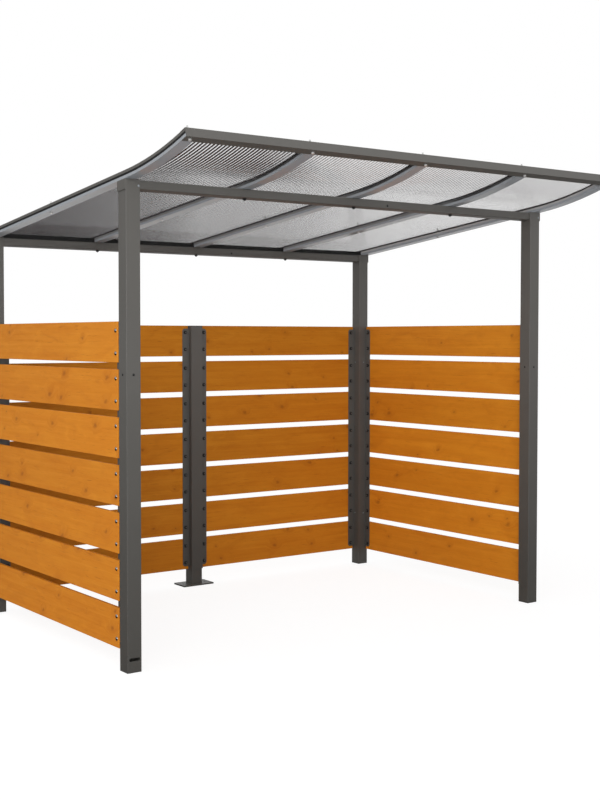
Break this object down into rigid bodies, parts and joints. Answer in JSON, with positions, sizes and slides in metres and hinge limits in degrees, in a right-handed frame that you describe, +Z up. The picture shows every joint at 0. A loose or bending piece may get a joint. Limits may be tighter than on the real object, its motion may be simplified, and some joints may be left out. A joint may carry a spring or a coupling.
{
  "type": "bike shelter",
  "caption": "Open-fronted bike shelter: square steel posts, horizontal timber boards on the sides and rear, and a twin-wall sheet roof that slopes to the rear and curves up over the entrance.",
  "frame": {"origin": "on the ground, under the middle of the shelter's box in plan", "axes": "+X to the right seen from the open front, +Y from the open front to the rear wall, +Z up"},
  "size_m": [2.58, 2.1032, 2.3117],
  "materials": {
    "painted_steel": "satin",
    "roof_bar": "satin",
    "timber": "satin",
    "clear_sheet": "gloss",
    "seal": "matte",
    "zinc": "satin"
  },
  "bodies": {
    "root": {"front_left_post": "painted_steel", "front_right_post": "painted_steel", "rear_left_post": "painted_steel", "rear_right_post": "painted_steel", "middle_post": "painted_steel", "middle_base_plate": "painted_steel", "front_left_bracket": "painted_steel", "front_right_bracket": "painted_steel", "rear_left_bracket": "painted_steel", "rear_right_bracket": "painted_steel", "middle_bracket": "painted_steel", "front_beam": "painted_steel", "rear_beam": "painted_steel", "front_beam_plates": "painted_steel", "rear_beam_plates": "painted_steel", "fascia": "painted_steel", "rear_edge": "painted_steel", "clamp_1": "painted_steel", "clamp_2": "painted_steel", "clamp_3": "painted_steel", "clamp_4": "painted_steel", "clamp_5": "painted_steel", "bar_1": "roof_bar", "bar_2": "roof_bar", "bar_3": "roof_bar", "bar_4": "roof_bar", "bar_5": "roof_bar", "left_wall_boards": "timber", "right_wall_boards": "timber", "rear_left_boards": "timber", "rear_right_boards": "timber", "sheet_1": "clear_sheet", "sheet_2": "clear_sheet", "sheet_3": "clear_sheet", "sheet_4": "clear_sheet", "seal_1": "seal", "seal_2": "seal", "seal_3": "seal", "seal_4": "seal", "seal_5": "seal", "closing_strips": "seal", "front_roof_bolts": "zinc", "middle_roof_bolts": "zinc"}
  },
  "joints": []
}
